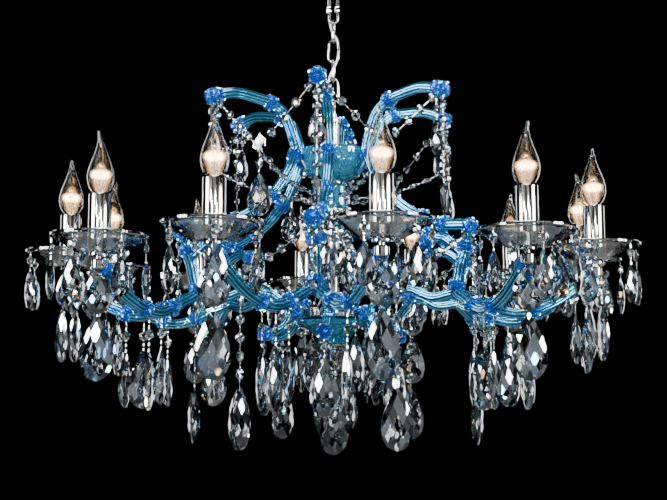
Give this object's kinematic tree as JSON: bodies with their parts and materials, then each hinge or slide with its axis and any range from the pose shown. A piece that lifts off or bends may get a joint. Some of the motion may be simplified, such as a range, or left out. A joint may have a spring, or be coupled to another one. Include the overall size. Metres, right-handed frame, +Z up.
{
  "type": "crystal chandelier",
  "caption": "Hanging crystal chandelier with scrolled fluted-glass branches, candle lamps in glass drip dishes, a chain, a ceiling plate and swinging icicle drops.",
  "frame": {"origin": "centre of the ceiling plate's flat top", "axes": "+Z up, out of the ceiling plate; -Y along one branch, towards the front"},
  "size_m": [0.8464, 0.8464, 0.743],
  "materials": {
    "blue_glass": "clear sky-blue fluted glass over a bent steel bar",
    "teal_glass": "blown teal-blue glass, clear and glossy",
    "clear_crystal": "cut and pressed clear crystal",
    "bulb_glass": "thin clear blown glass",
    "polished_nickel": "polished nickel plate"
  },
  "bodies": {
    "ceiling": {"ceiling_plate": "polished_nickel"},
    "quick_link": {"quick_link": "polished_nickel"},
    "chain_link_1": {"chain_link_1": "polished_nickel"},
    "chain_link_2": {"chain_link_2": "polished_nickel"},
    "chain_link_3": {"chain_link_3": "polished_nickel"},
    "chain_link_4": {"chain_link_4": "polished_nickel"},
    "chandelier": {"column_tube": "polished_nickel", "upper_bowl": "teal_glass", "column_glass": "teal_glass", "lower_bell": "blue_glass", "finial": "polished_nickel", "branch_1": "blue_glass", "branch_2": "blue_glass", "branch_3": "blue_glass", "branch_4": "blue_glass", "branch_5": "blue_glass", "branch_6": "blue_glass", "bobeche_1": "clear_crystal", "lamp_holder_1": "polished_nickel", "bobeche_2": "clear_crystal", "lamp_holder_2": "polished_nickel", "bobeche_3": "clear_crystal", "lamp_holder_3": "polished_nickel", "bobeche_4": "clear_crystal", "lamp_holder_4": "polished_nickel", "bobeche_5": "clear_crystal", "lamp_holder_5": "polished_nickel", "bobeche_6": "clear_crystal", "lamp_holder_6": "polished_nickel", "bobeche_7": "clear_crystal", "lamp_holder_7": "polished_nickel", "bobeche_8": "clear_crystal", "lamp_holder_8": "polished_nickel", "bobeche_9": "clear_crystal", "lamp_holder_9": "polished_nickel", "bobeche_10": "clear_crystal", "lamp_holder_10": "polished_nickel", "bobeche_11": "clear_crystal", "lamp_holder_11": "polished_nickel", "bobeche_12": "clear_crystal", "lamp_holder_12": "polished_nickel"},
    "bottom_drop": {"bottom_drop": "clear_crystal"},
    "icicle_strand_1": {"icicle_strand_1": "clear_crystal"},
    "icicle_strand_2": {"icicle_strand_2": "clear_crystal"},
    "icicle_strand_3": {"icicle_strand_3": "clear_crystal"},
    "icicle_strand_4": {"icicle_strand_4": "clear_crystal"},
    "icicle_strand_5": {"icicle_strand_5": "clear_crystal"},
    "icicle_strand_6": {"icicle_strand_6": "clear_crystal"},
    "bulb_1": {"bulb_1": "bulb_glass"},
    "bulb_2": {"bulb_2": "bulb_glass"},
    "bulb_3": {"bulb_3": "bulb_glass"},
    "bulb_4": {"bulb_4": "bulb_glass"},
    "bulb_5": {"bulb_5": "bulb_glass"},
    "bulb_6": {"bulb_6": "bulb_glass"},
    "bulb_7": {"bulb_7": "bulb_glass"},
    "bulb_8": {"bulb_8": "bulb_glass"},
    "bulb_9": {"bulb_9": "bulb_glass"},
    "bulb_10": {"bulb_10": "bulb_glass"},
    "bulb_11": {"bulb_11": "bulb_glass"},
    "bulb_12": {"bulb_12": "bulb_glass"}
  },
  "joints": [
    {"name": "quick_link_swing", "type": "hinge", "parent": "ceiling", "child": "quick_link", "pos_m": [0, 0, -0.045], "axis": [0, 1, 0], "range_deg": [-25, 25]},
    {"name": "chain_link_1_swing", "type": "hinge", "parent": "quick_link", "child": "chain_link_1", "pos_m": [0, 0, -0.1082], "axis": [1, 0, 0], "range_deg": [-25, 25]},
    {"name": "chain_link_2_swing", "type": "hinge", "parent": "chain_link_1", "child": "chain_link_2", "pos_m": [0, 0, -0.1378], "axis": [0, 1, 0], "range_deg": [-25, 25]},
    {"name": "chain_link_3_swing", "type": "hinge", "parent": "chain_link_2", "child": "chain_link_3", "pos_m": [0, 0, -0.1677], "axis": [1, 0, 0], "range_deg": [-25, 25]},
    {"name": "chain_link_4_swing", "type": "hinge", "parent": "chain_link_3", "child": "chain_link_4", "pos_m": [0, 0, -0.1976], "axis": [0, 1, 0], "range_deg": [-25, 25]},
    {"name": "chandelier_swing", "type": "hinge", "parent": "chain_link_4", "child": "chandelier", "pos_m": [0, 0, -0.2275], "axis": [1, 0, 0], "range_deg": [-25, 25]},
    {"name": "bottom_drop_swing", "type": "hinge", "parent": "chandelier", "child": "bottom_drop", "pos_m": [0, 0, -0.628], "axis": [1, 0, 0], "range_deg": [-15, 15]},
    {"name": "icicle_strand_1_swing", "type": "hinge", "parent": "chandelier", "child": "icicle_strand_1", "pos_m": [0, -0.188, -0.248], "axis": [0, -1, 0], "range_deg": [-20, 20]},
    {"name": "icicle_strand_2_swing", "type": "hinge", "parent": "chandelier", "child": "icicle_strand_2", "pos_m": [0.16281, -0.094, -0.248], "axis": [0.866, -0.5, 0], "range_deg": [-20, 20]},
    {"name": "icicle_strand_3_swing", "type": "hinge", "parent": "chandelier", "child": "icicle_strand_3", "pos_m": [0.16281, 0.094, -0.248], "axis": [0.866, 0.5, 0], "range_deg": [-20, 20]},
    {"name": "icicle_strand_4_swing", "type": "hinge", "parent": "chandelier", "child": "icicle_strand_4", "pos_m": [0, 0.188, -0.248], "axis": [0, 1, 0], "range_deg": [-20, 20]},
    {"name": "icicle_strand_5_swing", "type": "hinge", "parent": "chandelier", "child": "icicle_strand_5", "pos_m": [-0.16281, 0.094, -0.248], "axis": [-0.866, 0.5, 0], "range_deg": [-20, 20]},
    {"name": "icicle_strand_6_swing", "type": "hinge", "parent": "chandelier", "child": "icicle_strand_6", "pos_m": [-0.16281, -0.094, -0.248], "axis": [-0.866, -0.5, 0], "range_deg": [-20, 20]},
    {"name": "bulb_1_turn", "type": "hinge", "parent": "chandelier", "child": "bulb_1", "pos_m": [-0.09706, -0.36222, -0.43], "axis": [0, 0, 1], "continuous": true},
    {"name": "bulb_2_turn", "type": "hinge", "parent": "chandelier", "child": "bulb_2", "pos_m": [0.09706, -0.36222, -0.43], "axis": [0, 0, 1], "continuous": true},
    {"name": "bulb_3_turn", "type": "hinge", "parent": "chandelier", "child": "bulb_3", "pos_m": [0.26516, -0.26516, -0.43], "axis": [0, 0, 1], "continuous": true},
    {"name": "bulb_4_turn", "type": "hinge", "parent": "chandelier", "child": "bulb_4", "pos_m": [0.36222, -0.09706, -0.43], "axis": [0, 0, 1], "continuous": true},
    {"name": "bulb_5_turn", "type": "hinge", "parent": "chandelier", "child": "bulb_5", "pos_m": [0.36222, 0.09706, -0.43], "axis": [0, 0, 1], "continuous": true},
    {"name": "bulb_6_turn", "type": "hinge", "parent": "chandelier", "child": "bulb_6", "pos_m": [0.26516, 0.26516, -0.43], "axis": [0, 0, 1], "continuous": true},
    {"name": "bulb_7_turn", "type": "hinge", "parent": "chandelier", "child": "bulb_7", "pos_m": [0.09706, 0.36222, -0.43], "axis": [0, 0, 1], "continuous": true},
    {"name": "bulb_8_turn", "type": "hinge", "parent": "chandelier", "child": "bulb_8", "pos_m": [-0.09706, 0.36222, -0.43], "axis": [0, 0, 1], "continuous": true},
    {"name": "bulb_9_turn", "type": "hinge", "parent": "chandelier", "child": "bulb_9", "pos_m": [-0.26516, 0.26516, -0.43], "axis": [0, 0, 1], "continuous": true},
    {"name": "bulb_10_turn", "type": "hinge", "parent": "chandelier", "child": "bulb_10", "pos_m": [-0.36222, 0.09706, -0.43], "axis": [0, 0, 1], "continuous": true},
    {"name": "bulb_11_turn", "type": "hinge", "parent": "chandelier", "child": "bulb_11", "pos_m": [-0.36222, -0.09706, -0.43], "axis": [0, 0, 1], "continuous": true},
    {"name": "bulb_12_turn", "type": "hinge", "parent": "chandelier", "child": "bulb_12", "pos_m": [-0.26516, -0.26516, -0.43], "axis": [0, 0, 1], "continuous": true}
  ]
}
